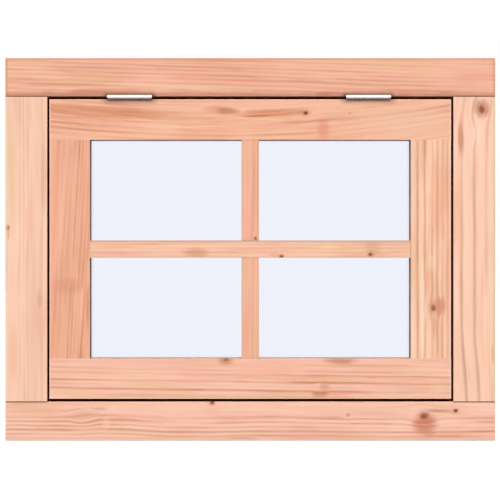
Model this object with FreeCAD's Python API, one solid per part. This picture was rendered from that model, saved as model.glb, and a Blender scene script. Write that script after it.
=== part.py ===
import FreeCAD, Part
import os

# Top-hung window of planed Douglas fir for a garden building. A four-light sash hangs in a fixed
# frame from two butt hinges in the top gap, and a peg stay on the inside holds it shut.
# Millimetres. X runs to the right as seen from outside, Y from outside to inside, and Z up.
# The origin is on the underside of the sill, in the middle of its length and of its depth.

Vec = FreeCAD.Vector

# Fixed frame
frame_width = 896.0
frame_height = 700.0
head_face = 70.3            # height of the head
sill_face = 71.3            # height of the sill
jamb_face = 77.0            # width of each jamb
stop_thickness = 23.0       # depth of the stop behind the sash
stop_height = 12.0          # how far the stop stands into the opening
arris_radius = 0.8          # eased edges

# Sash
sash_thickness = 44.0
stop_clearance = 1.0        # between the back of the sash and the stop
side_gap = 3.5
head_gap = 5.3
sill_gap = 5.1
sash_rail_face = 74.0
stile_face = 74.0

# Glazing
lip_thickness = 20.0        # wood in front of the glass
glass_rebate = 12.0         # width of the rebate in rails and stiles
glass_thickness = 4.0
glass_clearance = 2.0       # from the edge of a pane to the rebate wall
tape_thickness = 2.0
tape_setback = 0.5          # tape edge behind the edge of the wood
bead_depth = 14.0
bead_setback = 3.0          # bead edge behind the edge of the wood in front
bead_chamfer = 4.0
mitre_gap = 0.2             # between two beads at a corner

# Glazing bars
bar_face = 32.0
bar_web = 12.0              # thickness of the tongue between two panes
bar_joint_gap = 0.4         # open joint at the ends of the bars

# Butt hinges
hinge_length = 80.0
hinge_inset_left = 147.0    # from the left edge of the sash to the middle of its hinge
hinge_inset_right = 151.8   # the same on the right
knuckle_count = 5
knuckle_diameter = 6.2
knuckle_gap = 0.3
knuckle_chamfer = 0.4
knuckle_standoff = 0.3      # barrel in front of the wood
hinge_axis_drop = 1.05      # from the underside of the head to the middle of the barrel
leaf_thickness = 1.6
leaf_width = 28.0
hinge_pin_diameter = 3.4
hinge_pin_clearance = 0.05
pin_head_diameter = 5.0
pin_head_thickness = 0.7

# Peg stay
stay_length = 250.0         # between the end holes of the bar
stay_bar_width = 14.0
stay_bar_thickness = 4.0
stay_hole_diameter = 7.0
stay_hole_count = 5         # adjusting holes
stay_hole_pitch = 40.0
peg_diameter = 6.0
peg_height = 12.0           # above its shoulder
peg_shoulder_diameter = 11.0
peg_shoulder_height = 4.0
peg_plate_length = 52.0
peg_plate_width = 15.0
peg_plate_thickness = 2.5
bracket_width = 40.0
bracket_height = 34.0
bracket_thickness = 2.5
lug_thickness = 3.0
lug_width = 16.0
rivet_diameter = 6.6
rivet_head_diameter = 11.0
rivet_head_height = 2.0
hardware_radius = 3.0       # rounded corners of the plates

# Depths, from the front of the frame
frame_depth = sash_thickness + stop_clearance + stop_thickness
front_y = -frame_depth / 2
back_y = frame_depth / 2
stop_y = back_y - stop_thickness
sash_back_y = front_y + sash_thickness
lip_back_y = front_y + lip_thickness
glass_front_y = lip_back_y + tape_thickness
glass_back_y = glass_front_y + glass_thickness
bead_back_y = glass_back_y + bead_depth

# Frame opening and sash outline
half_width = frame_width / 2
opening_half = half_width - jamb_face
opening_bottom = sill_face
opening_top = frame_height - head_face
sash_half = opening_half - side_gap
sash_bottom = opening_bottom + sill_gap
sash_top = opening_top - head_gap

# Daylight opening of the sash, and the walls of the glass rebate around it
light_half = sash_half - stile_face
light_bottom = sash_bottom + sash_rail_face
light_top = sash_top - sash_rail_face
light_middle = (light_bottom + light_top) / 2
wall_half = light_half + glass_rebate
wall_bottom = light_bottom - glass_rebate
wall_top = light_top + glass_rebate


# Shape helpers

def box(x_range, y_range, z_range):
    """Block between three pairs of coordinates."""
    (x0, x1), (y0, y1), (z0, z1) = x_range, y_range, z_range
    return Part.makeBox(x1 - x0, y1 - y0, z1 - z0, Vec(x0, y0, z0))


def prism(points, direction):
    """Closed outline carried along a direction."""
    outline = Part.makePolygon(points + points[:1])
    return Part.Face(outline).extrude(direction)


def along(edge, axis):
    """True for a straight edge that runs along the axis."""
    if edge.Curve.TypeId != "Part::GeomLine":
        return False
    return abs(abs(edge.tangentAt(edge.FirstParameter).dot(axis)) - 1) < 1e-6


def lies_at(edge, **places):
    """True if the middle of the edge has all the coordinates that are given."""
    middle = edge.valueAt((edge.FirstParameter + edge.LastParameter) / 2)
    return all(abs(getattr(middle, name) - value) < 1e-4 for name, value in places.items())


def ease(solid, chosen):
    """Rounds the chosen edges as a planed arris is eased."""
    return solid.makeFillet(arris_radius, [edge for edge in solid.Edges if chosen(edge)])


def scribe(upright, rails):
    """Cuts an upright to fit over the rails. Faces that meet in one plane count as touching."""
    return upright.cut(rails, 1e-5)


X, Y, Z = Vec(1, 0, 0), Vec(0, 1, 0), Vec(0, 0, 1)


# Fixed frame

def frame_rail(edge_z, outer_z):
    """Head or sill over the whole width, with the stop at its back. edge_z is the opening's edge."""
    into_opening = 1 if edge_z > outer_z else -1
    stop_z = edge_z + into_opening * stop_height
    outline = [
        Vec(-half_width, front_y, outer_z),
        Vec(-half_width, front_y, edge_z),
        Vec(-half_width, stop_y, edge_z),
        Vec(-half_width, stop_y, stop_z),
        Vec(-half_width, back_y, stop_z),
        Vec(-half_width, back_y, outer_z),
    ]
    rail = prism(outline, X * frame_width)
    inner_corner = {"y": stop_y, "z": edge_z}

    def chosen(edge):
        if along(edge, X):
            return not lies_at(edge, **inner_corner)
        return along(edge, Z) and (lies_at(edge, y=front_y) or lies_at(edge, y=back_y))

    return ease(rail, chosen)


def frame_jamb(side, head, sill):
    """Upright between head and sill, scribed over their stops. side is -1 on the left, 1 on the right."""
    outer_x = side * half_width
    edge_x = side * opening_half
    stop_x = edge_x - side * stop_height
    outline = [
        Vec(outer_x, front_y, opening_bottom),
        Vec(edge_x, front_y, opening_bottom),
        Vec(edge_x, stop_y, opening_bottom),
        Vec(stop_x, stop_y, opening_bottom),
        Vec(stop_x, back_y, opening_bottom),
        Vec(outer_x, back_y, opening_bottom),
    ]
    jamb = prism(outline, Z * (opening_top - opening_bottom))
    jamb = ease(jamb, lambda edge: along(edge, Z) and not lies_at(edge, x=edge_x, y=stop_y))
    return scribe(jamb, [head, sill])


# Sash

def sash_rail(light_z, outer_z):
    """Top or bottom rail over the whole width of the sash, rebated at the back for the glass."""
    outwards = 1 if outer_z > light_z else -1
    wall_z = light_z + outwards * glass_rebate
    outline = [
        Vec(-sash_half, front_y, outer_z),
        Vec(-sash_half, front_y, light_z),
        Vec(-sash_half, lip_back_y, light_z),
        Vec(-sash_half, lip_back_y, wall_z),
        Vec(-sash_half, sash_back_y, wall_z),
        Vec(-sash_half, sash_back_y, outer_z),
    ]
    rail = prism(outline, X * (2 * sash_half))

    def chosen(edge):
        on_face = lies_at(edge, y=front_y) or lies_at(edge, y=sash_back_y)
        outer_edge = along(edge, X) and lies_at(edge, z=outer_z)
        return on_face and (outer_edge or along(edge, Z))

    return ease(rail, chosen)


def sash_stile(side, top_rail, bottom_rail):
    """Upright between the rails, scribed into their rebates."""
    outer_x = side * sash_half
    light_x = side * light_half
    wall_x = side * wall_half
    outline = [
        Vec(outer_x, front_y, wall_bottom),
        Vec(light_x, front_y, wall_bottom),
        Vec(light_x, lip_back_y, wall_bottom),
        Vec(wall_x, lip_back_y, wall_bottom),
        Vec(wall_x, sash_back_y, wall_bottom),
        Vec(outer_x, sash_back_y, wall_bottom),
    ]
    stile = prism(outline, Z * (wall_top - wall_bottom))
    stile = ease(stile, lambda edge: along(edge, Z) and lies_at(edge, x=outer_x))
    return scribe(stile, [top_rail, bottom_rail])


# Glazing bars: a flat face in front of the panes and a tongue between them

def horizontal_bar():
    """Bar over the whole width of the daylight opening."""
    face_half = light_half - bar_joint_gap
    face = box(
        (-face_half, face_half),
        (front_y, lip_back_y),
        (light_middle - bar_face / 2, light_middle + bar_face / 2),
    )
    tongue = box(
        (-wall_half, wall_half),
        (lip_back_y, bead_back_y),
        (light_middle - bar_web / 2, light_middle + bar_web / 2),
    )
    return face.fuse(tongue).removeSplitter()


def vertical_bar(rail_light_z, rail_wall_z):
    """Bar between the horizontal bar and one rail."""
    way = 1 if rail_light_z > light_middle else -1
    face_ends = sorted((light_middle + way * (bar_face / 2 + bar_joint_gap), rail_light_z - way * bar_joint_gap))
    tongue_ends = sorted((light_middle + way * bar_web / 2, rail_wall_z))
    face = box((-bar_face / 2, bar_face / 2), (front_y, lip_back_y), face_ends)
    tongue = box((-bar_web / 2, bar_web / 2), (lip_back_y, bead_back_y), tongue_ends)
    return face.fuse(tongue).removeSplitter()


# Glazing of one light

class Light:
    """One of the four lights: its rebate walls and its daylight edges, as seen from outside."""

    def __init__(self, column, row):
        self.walls_x = sorted((column * bar_web / 2, column * wall_half))
        self.edges_x = sorted((column * bar_face / 2, column * light_half))
        if row > 0:
            self.walls_z = (light_middle + bar_web / 2, wall_top)
            self.edges_z = (light_middle + bar_face / 2, light_top)
        else:
            self.walls_z = (wall_bottom, light_middle - bar_web / 2)
            self.edges_z = (light_bottom, light_middle - bar_face / 2)

    def pane_ranges(self):
        """Outline of the pane in X and in Z."""
        return [(low + glass_clearance, high - glass_clearance) for low, high in (self.walls_x, self.walls_z)]

    def hole_ranges(self, setback):
        """Daylight opening in X and in Z, wider by the setback on every side."""
        return [(low - setback, high + setback) for low, high in (self.edges_x, self.edges_z)]


def pane(light):
    x_range, z_range = light.pane_ranges()
    return box(x_range, (glass_front_y, glass_back_y), z_range)


def tape(light):
    """Flat ring of glazing tape between the wood and the pane."""
    depth = (lip_back_y, glass_front_y)
    x_range, z_range = light.pane_ranges()
    hole_x, hole_z = light.hole_ranges(tape_setback)
    return box(x_range, depth, z_range).cut(box(hole_x, depth, hole_z))


def bead(outer_start, outer_end, inner_start, inner_end):
    """Mitred bead against the glass, chamfered on its inner edge. Corners are (x, z) pairs."""
    run = Vec(outer_end[0] - outer_start[0], 0, outer_end[1] - outer_start[1]).normalize()
    slack = run * (mitre_gap / 2)

    def corner(place, shift):
        return Vec(place[0], glass_back_y, place[1]) + shift

    points = [
        corner(outer_start, slack),
        corner(outer_end, -slack),
        corner(inner_end, -slack),
        corner(inner_start, slack),
    ]
    blank = prism(points, Y * bead_depth)
    inner_middle = (points[2] + points[3]) * 0.5
    edges = [e for e in blank.Edges if lies_at(e, x=inner_middle.x, y=bead_back_y, z=inner_middle.z)]
    return blank.makeChamfer(bead_chamfer, edges)


def beads(light):
    """The four beads of a light by their side, clear of each other at the mitres."""
    corners = ((0, 0), (1, 0), (1, 1), (0, 1))
    hole_x, hole_z = light.hole_ranges(bead_setback)
    outer = [(light.walls_x[i], light.walls_z[k]) for i, k in corners]
    inner = [(hole_x[i], hole_z[k]) for i, k in corners]
    runs = {"bottom": (0, 1), "right": (1, 2), "top": (2, 3), "left": (3, 0)}
    return {side: bead(outer[i], outer[j], inner[i], inner[j]) for side, (i, j) in runs.items()}


# Butt hinges: leaves lie in the top gap, barrel stands in front of the wood

hinge_axis_y = front_y - knuckle_standoff - knuckle_diameter / 2
hinge_axis_z = opening_top - hinge_axis_drop
knuckle_pitch = hinge_length / knuckle_count


def hinge_leaf(middle_x, plate_z, first_knuckle):
    """Leaf with every second knuckle of the barrel. plate_z is the underside of its plate."""
    left_x = middle_x - hinge_length / 2
    plate_top = plate_z + leaf_thickness
    tongue_heights = (min(plate_z, hinge_axis_z), max(plate_top, hinge_axis_z))
    leaf = box((left_x, left_x + hinge_length), (front_y, front_y + leaf_width), (plate_z, plate_top))
    for index in range(first_knuckle, knuckle_count, 2):
        start_x = left_x + index * knuckle_pitch + knuckle_gap / 2
        length = knuckle_pitch - knuckle_gap
        knuckle = Part.makeCylinder(knuckle_diameter / 2, length, Vec(start_x, hinge_axis_y, hinge_axis_z), X)
        rims = [edge for edge in knuckle.Edges if edge.Curve.TypeId == "Part::GeomCircle"]
        tongue = box((start_x, start_x + length), (hinge_axis_y, front_y), tongue_heights)
        leaf = leaf.fuse([knuckle.makeChamfer(knuckle_chamfer, rims), tongue])
    bore_radius = hinge_pin_diameter / 2 + hinge_pin_clearance
    bore = Part.makeCylinder(bore_radius, hinge_length, Vec(left_x, hinge_axis_y, hinge_axis_z), X)
    return leaf.cut(bore).removeSplitter()


def hinge_pin(middle_x):
    """Pin through the barrel with a flat head at each end."""
    start = Vec(middle_x - hinge_length / 2, hinge_axis_y, hinge_axis_z)
    pin = Part.makeCylinder(hinge_pin_diameter / 2, hinge_length, start, X)
    heads = [
        Part.makeCylinder(pin_head_diameter / 2, pin_head_thickness, start - X * pin_head_thickness, X),
        Part.makeCylinder(pin_head_diameter / 2, pin_head_thickness, start + X * hinge_length, X),
    ]
    return pin.fuse(heads).removeSplitter()


def hinge_recess(middle_x):
    """Housing in the underside of the head that takes the frame leaf."""
    return box(
        (middle_x - hinge_length / 2, middle_x + hinge_length / 2),
        (front_y, front_y + leaf_width),
        (opening_top, opening_top + leaf_thickness),
    )


# Peg stay on the inside: a bracket on the sash carries the bar, which drops over pegs on the sill

stay_y = (stop_y + back_y) / 2
stop_top_z = opening_bottom + stop_height
bar_bottom_z = stop_top_z + peg_plate_thickness + peg_shoulder_height
bar_top_z = bar_bottom_z + stay_bar_thickness
pivot_x = -stay_length / 2


def stay_hole_places():
    """Places of the adjusting holes along the bar, counted from its free end."""
    return [pivot_x + stay_length - index * stay_hole_pitch for index in range(stay_hole_count)]


def rounded_plate(x_range, y_range, z_range, axis):
    """Plate with its corners rounded about the given axis."""
    plate = box(x_range, y_range, z_range)
    return plate.makeFillet(hardware_radius, [edge for edge in plate.Edges if along(edge, axis)])


def stay_bar():
    """Flat bar with round ends, a pivot hole and a row of adjusting holes."""
    radius = stay_bar_width / 2
    end_x = pivot_x + stay_length
    bar = box((pivot_x, end_x), (stay_y - radius, stay_y + radius), (bar_bottom_z, bar_top_z))
    for x in (pivot_x, end_x):
        bar = bar.fuse(Part.makeCylinder(radius, stay_bar_thickness, Vec(x, stay_y, bar_bottom_z)))
    for x in [pivot_x] + stay_hole_places():
        hole = Part.makeCylinder(stay_hole_diameter / 2, stay_bar_thickness, Vec(x, stay_y, bar_bottom_z))
        bar = bar.cut(hole)
    return bar.removeSplitter()


def stay_bracket():
    """Plate on the back of the sash with a lug over the bar and the rivet that the bar turns on."""
    plate = rounded_plate(
        (pivot_x - bracket_width / 2, pivot_x + bracket_width / 2),
        (sash_back_y, sash_back_y + bracket_thickness),
        (bar_top_z, bar_top_z + bracket_height),
        Y,
    )
    lug_heights = (bar_top_z, bar_top_z + lug_thickness)
    lug = box((pivot_x - lug_width / 2, pivot_x + lug_width / 2), (sash_back_y, stay_y), lug_heights)
    lug_end = Part.makeCylinder(lug_width / 2, lug_thickness, Vec(pivot_x, stay_y, bar_top_z))
    shank_height = stay_bar_thickness + lug_thickness
    shank = Part.makeCylinder(rivet_diameter / 2, shank_height, Vec(pivot_x, stay_y, bar_bottom_z))
    top_head = Part.makeCylinder(
        rivet_head_diameter / 2, rivet_head_height, Vec(pivot_x, stay_y, bar_top_z + lug_thickness)
    )
    low_head = Part.makeCylinder(
        rivet_head_diameter / 2, rivet_head_height, Vec(pivot_x, stay_y, bar_bottom_z - rivet_head_height)
    )
    return plate.fuse([lug, lug_end, shank, top_head, low_head]).removeSplitter()


def stay_peg(x):
    """Peg with a shoulder under the bar, on a plate that lies on the stop of the sill."""
    plate = rounded_plate(
        (x - peg_plate_length / 2, x + peg_plate_length / 2),
        (stay_y - peg_plate_width / 2, stay_y + peg_plate_width / 2),
        (stop_top_z, stop_top_z + peg_plate_thickness),
        Z,
    )
    plate_top = Vec(x, stay_y, stop_top_z + peg_plate_thickness)
    shoulder = Part.makeCylinder(peg_shoulder_diameter / 2, peg_shoulder_height, plate_top)
    peg = Part.makeCylinder(peg_diameter / 2, peg_height, plate_top + Z * peg_shoulder_height)
    rim = [edge for edge in peg.Edges if lies_at(edge, z=plate_top.z + peg_shoulder_height + peg_height)]
    return plate.fuse([shoulder, peg.makeFillet(peg_diameter / 4, rim)]).removeSplitter()


# The assembly

def assembly():
    """Every piece by its name."""
    hinge_middles = {"left": hinge_inset_left - sash_half, "right": sash_half - hinge_inset_right}
    head = frame_rail(opening_top, frame_height)
    sill = frame_rail(opening_bottom, 0.0)
    pieces = {
        "frame_head": head.cut([hinge_recess(x) for x in hinge_middles.values()]),
        "frame_sill": sill,
        "frame_jamb_left": frame_jamb(-1, head, sill),
        "frame_jamb_right": frame_jamb(1, head, sill),
    }
    top_rail = sash_rail(light_top, sash_top)
    bottom_rail = sash_rail(light_bottom, sash_bottom)
    pieces["sash_top_rail"] = top_rail
    pieces["sash_bottom_rail"] = bottom_rail
    pieces["sash_stile_left"] = sash_stile(-1, top_rail, bottom_rail)
    pieces["sash_stile_right"] = sash_stile(1, top_rail, bottom_rail)
    pieces["bar_horizontal"] = horizontal_bar()
    pieces["bar_vertical_upper"] = vertical_bar(light_top, wall_top)
    pieces["bar_vertical_lower"] = vertical_bar(light_bottom, wall_bottom)
    for row_name, row in (("upper", 1), ("lower", -1)):
        for column_name, column in (("left", -1), ("right", 1)):
            light = Light(column, row)
            place = f"{row_name}_{column_name}"
            pieces[f"glass_{place}"] = pane(light)
            pieces[f"glazing_tape_{place}"] = tape(light)
            for side, piece in beads(light).items():
                pieces[f"glazing_bead_{place}_{side}"] = piece
    for side, middle_x in hinge_middles.items():
        pieces[f"hinge_{side}_frame_leaf"] = hinge_leaf(middle_x, opening_top, 0)
        pieces[f"hinge_{side}_sash_leaf"] = hinge_leaf(middle_x, sash_top, 1)
        pieces[f"hinge_{side}_pin"] = hinge_pin(middle_x)
    peg_places = stay_hole_places()
    pieces["stay_bar"] = stay_bar()
    pieces["stay_bracket"] = stay_bracket()
    pieces["stay_peg_left"] = stay_peg(peg_places[-1])
    pieces["stay_peg_right"] = stay_peg(peg_places[1])
    return pieces


os.makedirs("parts", exist_ok=True)
for name, shape in assembly().items():
    shape.exportStep(os.path.join("parts", name + ".step"))
    print(f"{name}: {len(shape.Solids)} solid, {shape.Volume / 1000:.1f} cm3, valid {shape.isValid()}")
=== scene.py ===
# %% [markdown]
# This lesson dresses a top-hung window of planed Douglas fir. The joinery is already made at its real
# size: a fixed frame, a sash with four panes, two butt hinges in the top gap and a peg stay on the inside.
# Here every board gets its own grain, the panes become glass, the fittings become zinc plated steel, and
# the small fasteners that hold beads and fittings are modelled. Lengths are in metres, and seen from
# outside X runs to the right, Y into the house and Z up.

# %% Load the joinery
import math
import bpy
from mathutils import Matrix, Vector


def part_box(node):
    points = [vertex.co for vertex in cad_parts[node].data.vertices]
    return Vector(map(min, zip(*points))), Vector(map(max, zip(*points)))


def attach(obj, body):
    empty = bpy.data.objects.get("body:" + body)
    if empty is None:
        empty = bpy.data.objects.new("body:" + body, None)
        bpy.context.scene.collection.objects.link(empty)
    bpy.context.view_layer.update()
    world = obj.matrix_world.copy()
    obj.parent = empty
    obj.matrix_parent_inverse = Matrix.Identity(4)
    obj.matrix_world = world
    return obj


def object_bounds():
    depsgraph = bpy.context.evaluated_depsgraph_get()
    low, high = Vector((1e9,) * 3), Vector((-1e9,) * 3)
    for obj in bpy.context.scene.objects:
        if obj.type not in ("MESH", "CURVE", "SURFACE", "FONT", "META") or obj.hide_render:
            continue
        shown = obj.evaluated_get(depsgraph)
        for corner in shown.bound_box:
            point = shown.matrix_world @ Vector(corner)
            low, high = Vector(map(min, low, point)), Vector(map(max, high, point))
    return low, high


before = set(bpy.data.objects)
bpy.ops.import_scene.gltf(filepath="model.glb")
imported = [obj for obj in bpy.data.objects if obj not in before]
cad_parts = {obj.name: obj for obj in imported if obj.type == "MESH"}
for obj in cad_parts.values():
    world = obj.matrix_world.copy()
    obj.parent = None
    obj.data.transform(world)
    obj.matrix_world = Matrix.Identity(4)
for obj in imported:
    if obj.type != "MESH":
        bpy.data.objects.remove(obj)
cad_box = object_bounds()
MM = 0.001
print("pieces of joinery:", len(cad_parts))

# %% [markdown]
# The camera stands square in front of the window, level with the crossing of the bars, a little under two
# metres away. A person could also use a very long lens, but then the depth of the rebates would not show.
# From here the eye just catches the sides of the rebates, as thin dark lines round the edges of the glass.

# %% Camera
front_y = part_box("frame_sill")[0].y
eye = Vector((-0.0005, front_y - 1.8, 0.3488))
picture_width = 0.9145
camera_data = bpy.data.cameras.new("camera")
camera_data.sensor_width = 36
camera_data.lens = camera_data.sensor_width * (front_y - eye.y) / picture_width
camera = bpy.data.objects.new("camera", camera_data)
camera.location = eye
camera.rotation_euler = (math.radians(90), 0, 0)
bpy.context.scene.collection.objects.link(camera)
bpy.context.scene.camera = camera
print("lens in millimetres:", round(camera_data.lens, 1))

# %% [markdown]
# Colours are written as the hex values a painter would pick on a screen. Blender counts light linearly,
# so one function changes them. Another small function adds a shader node, sets it up and joins its
# inputs, because a finish is a chain of such nodes and the chain should read from top to bottom.

# %% Colour and node helpers
def linear(hex_colour):
    """An sRGB hex value as linear red, green and blue with full alpha."""
    channels = [int(hex_colour[start:start + 2], 16) / 255 for start in (1, 3, 5)]
    bent = [c / 12.92 if c <= 0.04045 else ((c + 0.055) / 1.055) ** 2.4 for c in channels]
    return (*bent, 1)


def add(tree, kind, inputs=None, **settings):
    """Adds a node. Inputs are found by name or number, and take a value, a socket or another node."""
    node = tree.nodes.new("ShaderNode" + kind)
    for name, value in settings.items():
        setattr(node, name, value)
    for key, value in (inputs or {}).items():
        named = [socket for socket in node.inputs if socket.name == key and socket.enabled]
        target = named[0] if named else node.inputs[key]
        if isinstance(value, bpy.types.Node):
            value = [socket for socket in value.outputs if socket.enabled][0]
        if isinstance(value, bpy.types.NodeSocket):
            tree.links.new(value, target)
        else:
            target.default_value = value
    return node


def new_material(name):
    """An empty material and its node tree."""
    material = bpy.data.materials.new(name)
    material.use_nodes = True
    material.node_tree.nodes.clear()
    return material, material.node_tree


def paint(material, *pieces):
    """Gives the material to whole pieces."""
    for piece in pieces:
        piece.data.materials.clear()
        piece.data.materials.append(material)


print("white as linear light:", linear("#ffffff")[:3])

# %% [markdown]
# The window is shown on a white sweep, as in a catalogue. The sweep glows a little towards the eye, so
# that it stays white without more light on the wood, and its matt part still takes the window's shadow.
# A floor lit to white by lamps alone would bleach the wood as well. In mirrors and through panes the sweep
# is plain white, so that every pane shows the same clean background.

# %% White sweep
GLOW_TO_EYE = 0.76


def eye_paths(tree):
    """Whether light goes straight to the eye, and whether it gets there only by mirrors or glass."""
    path = add(tree, "LightPath")
    clean = add(tree, "Math", {0: path.outputs["Diffuse Depth"], 1: 0.5}, operation="LESS_THAN")
    glossy, through = path.outputs["Is Glossy Ray"], path.outputs["Is Transmission Ray"]
    either = add(tree, "Math", {0: glossy, 1: through}, operation="MAXIMUM")
    return path.outputs["Is Camera Ray"], add(tree, "Math", {0: either, 1: clean}, operation="MULTIPLY")


def white_sweep():
    """A matt floor that glows towards the eye, and is plain white in mirrors and through panes."""
    material, tree = new_material("matt_white_sweep")
    straight, by_glass = eye_paths(tree)
    glow = add(tree, "Math", {0: straight, 1: GLOW_TO_EYE}, operation="MULTIPLY")
    matt = add(tree, "BsdfDiffuse", {"Color": linear("#8a8a8a")})
    light = add(tree, "Emission", {"Color": linear("#ffffff"), "Strength": glow})
    lit = add(tree, "AddShader", {0: matt, 1: light})
    plain = add(tree, "Emission", {"Color": linear("#ffffff"), "Strength": 1.0})
    add(tree, "OutputMaterial", {"Surface": add(tree, "MixShader", {0: by_glass, 1: lit, 2: plain})})
    return material


bpy.ops.object.select_all(action="DESELECT")
bpy.ops.mesh.primitive_circle_add(vertices=96, radius=7, fill_type="NGON", location=(0, 0, -0.0003))
sweep = bpy.context.object
sweep.name = "sweep"
paint(white_sweep(), sweep)
print("sweep across:", sweep.dimensions.x)

# %% [markdown]
# The light is even and soft, from in front and above, so the barrels of the hinges throw a short shadow
# on the sash while the boards stay flat and bright. Sun lamps light the whole width alike, where an area
# lamp would leave one end darker. A weaker sun behind keeps the inside from going dull. It stands high
# enough that its disc doesn't show through the panes. The sky gives a low even fill, so the rebates and
# the gap round the sash stay dark.

# %% Light
def sun(name, strength, spread, elevation, azimuth):
    """A sun lamp. An azimuth of 0 degrees shines along +Y, from behind the camera."""
    lamp_data = bpy.data.lights.new(name, "SUN")
    lamp_data.energy = strength
    lamp_data.angle = math.radians(spread)
    lamp = bpy.data.objects.new(name, lamp_data)
    lamp.rotation_euler = (math.radians(90 - elevation), 0, math.radians(azimuth))
    bpy.context.scene.collection.objects.link(lamp)
    return lamp


sun("key", strength=3.2, spread=30, elevation=46, azimuth=0)
sun("from_behind", strength=2.0, spread=40, elevation=48, azimuth=180)
world = bpy.data.worlds.new("white_room")
bpy.context.scene.world = world
world.use_nodes = True
world.node_tree.nodes.clear()
fill_level = 0.3
straight, by_glass = eye_paths(world.node_tree)
seen = add(world.node_tree, "Math", {0: straight, 1: by_glass}, operation="MAXIMUM")
room_light = add(world.node_tree, "MapRange", {"Value": seen, "To Min": fill_level, "To Max": 1.0})
room = add(world.node_tree, "Background", {"Color": linear("#ffffff"), "Strength": room_light})
add(world.node_tree, "OutputWorld", {"Surface": room})
bpy.context.scene.view_settings.view_transform = "Standard"
print("fill level:", fill_level)

# %% [markdown]
# Painted shade and highlights, and dust in the joints, follow the main lines of a window: the outline of
# the sash, the opening in the frame and the daylight inside the sash. The joinery gives the sash. The gaps
# round it and the width of its timber are plain numbers a joiner works to, so they are written down here.
# The stop behind the sash belongs to the frame boards but can't be seen from the front, so it is left out
# of their faces.

# %% Main lines of the window
side_gap = 3.5 * MM
head_gap = 5.3 * MM
sill_gap = 5.1 * MM
sash_timber = 74 * MM
sash_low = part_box("sash_bottom_rail")[0]
sash_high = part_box("sash_top_rail")[1]
opening_low = sash_low - Vector((side_gap, 0, sill_gap))
opening_high = sash_high + Vector((side_gap, 0, head_gap))
daylight_low = sash_low + Vector((sash_timber, 0, sash_timber))
daylight_high = sash_high - Vector((sash_timber, 0, sash_timber))


def face_box(node):
    """The box of a board as far as its front face reaches."""
    low, high = [corner.copy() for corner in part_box(node)]
    if node == "frame_head":
        low.z = opening_high.z
    if node == "frame_sill":
        high.z = opening_low.z
    if node == "frame_jamb_left":
        high.x = opening_low.x
    if node == "frame_jamb_right":
        low.x = opening_high.x
    return low, high


print("opening in the frame:", [round(v, 4) for v in opening_high - opening_low])

# %% [markdown]
# Douglas fir is a pinkish softwood with clear growth rings. Each ring starts with pale early wood and
# ends in a thin, browner line of late wood. A board is a slice out of the trunk, so its lines are the
# rings cut through. The shader works in a board's own space, in millimetres: along the grain, through the
# depth and across the face. Because that space has three dimensions, the face, the edges and the end
# grain of a board agree, which an image would not give.

# %% Grain space
def grain_space(tree, node, along):
    """Millimetres from the middle of a board: X along the grain, Y through the depth, Z across it."""
    low, high = face_box(node)
    place = add(tree, "TexCoord").outputs["Object"]
    to_board = {"Vector": place, "Location": (low + high) / 2, "Scale": (MM, MM, MM)}
    parts = add(tree, "SeparateXYZ", {0: add(tree, "Mapping", to_board, vector_type="TEXTURE")})
    across = "Z" if along == "X" else "X"
    order = {"X": parts.outputs[along], "Y": parts.outputs["Y"], "Z": parts.outputs[across]}
    return add(tree, "CombineXYZ", order)


def stretched_noise(tree, grain, lengths, seed, detail=2.0):
    """Cloudy noise whose patches have the given lengths in millimetres along, through and across."""
    scale = [1 / length for length in lengths]
    start = (seed, seed * 1.7, -seed)
    spot = add(tree, "VectorMath", {0: grain, 1: scale, 2: start}, operation="MULTIPLY_ADD")
    return add(tree, "TexNoise", {"Vector": spot, "Scale": 1.0, "Detail": detail, "Roughness": 0.55})


def ramp_over(tree, value, start, end, first=0.0, last=1.0):
    """A smooth step from the first level at the start to the last level at the end."""
    steps = {"Value": value, "From Min": start, "From Max": end, "To Min": first, "To Max": last}
    return add(tree, "MapRange", steps, interpolation_type="SMOOTHSTEP")


def soft_oval(tree, grain, centre, half_size, solid=0.0):
    """One in the middle of an oval on the face, fading to nought at its rim."""
    offset = add(tree, "VectorMath", {0: grain, 1: (centre[0], 0, centre[1])}, operation="SUBTRACT")
    shrink = (1 / half_size[0], 0, 1 / half_size[1])
    unit = add(tree, "VectorMath", {0: offset, 1: shrink}, operation="MULTIPLY")
    distance = add(tree, "VectorMath", {0: unit}, operation="LENGTH").outputs["Value"]
    return ramp_over(tree, distance, solid, 1.0, 1.0, 0.0)


print("one unit of grain space in metres:", MM)

# %% [markdown]
# The grain isn't straight. A trunk leans and bows, and its fibres part round a knot and close again
# behind it. It is easier to bend the space than to bend each line, so the next function takes slope, bow,
# bends, wander and knots out of grain space. In the space that is left all lines run straight. A knot
# reaches a number of its own radii along and across the grain.

# %% Flow of the grain
KNOT_REACH = (6, 4)
KNOT_PUSH = 0.7


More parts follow.
